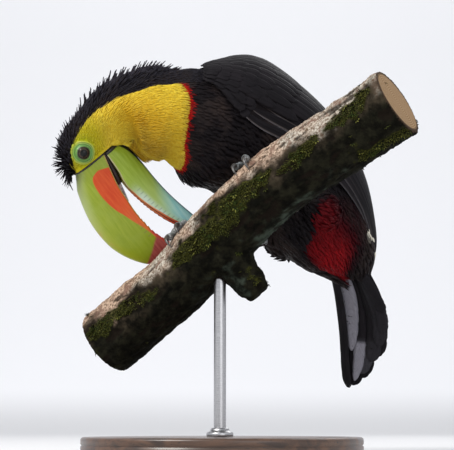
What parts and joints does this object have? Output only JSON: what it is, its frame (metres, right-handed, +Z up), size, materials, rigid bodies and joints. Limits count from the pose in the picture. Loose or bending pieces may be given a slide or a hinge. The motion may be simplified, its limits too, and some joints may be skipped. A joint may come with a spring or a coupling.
{
  "type": "perched toucan figure",
  "caption": "Life-size keel-billed toucan bent down over a cut length of mossy branch, bill reaching back under its breast, held by a round base and a rod.",
  "frame": {"origin": "centre of the underside of the stand's base", "axes": "+Z up; the bird's left side and the branch's near end face -Y; its head points to -X"},
  "size_m": [0.2952, 0.2439, 0.3384],
  "materials": {
    "plumage": "black feathers with a faint sheen, red under the tail and white on the rump",
    "bib": "yellow feathers edged with red, black on the nape",
    "bill": "satin horn, green with orange, blue and maroon patches",
    "tongue": "dull grey",
    "eye": "wet and clear over a dark brown iris",
    "foot": "blue-grey scales",
    "claw": "dark horn",
    "bark": "rough bark with moss and two sawn ends",
    "base": "dark satin",
    "rod": "brushed"
  },
  "bodies": {
    "root": {"bill_lower": "bill", "bill_upper": "bill", "claw_left_front_inner": "claw", "claw_left_front_outer": "claw", "claw_left_rear_inner": "claw", "claw_left_rear_outer": "claw", "claw_right_front_inner": "claw", "claw_right_front_outer": "claw", "claw_right_rear_inner": "claw", "claw_right_rear_outer": "claw", "eye_left": "eye", "eye_right": "eye", "foot_left": "foot", "foot_right": "foot", "head": "plumage", "neck": "bib", "perch": "bark", "stand_base": "base", "stand_collar": "rod", "stand_rod": "rod", "tail": "plumage", "thigh_left": "plumage", "thigh_right": "plumage", "tongue": "tongue", "trunk": "plumage", "wing_left": "plumage", "wing_right": "plumage"}
  },
  "joints": []
}
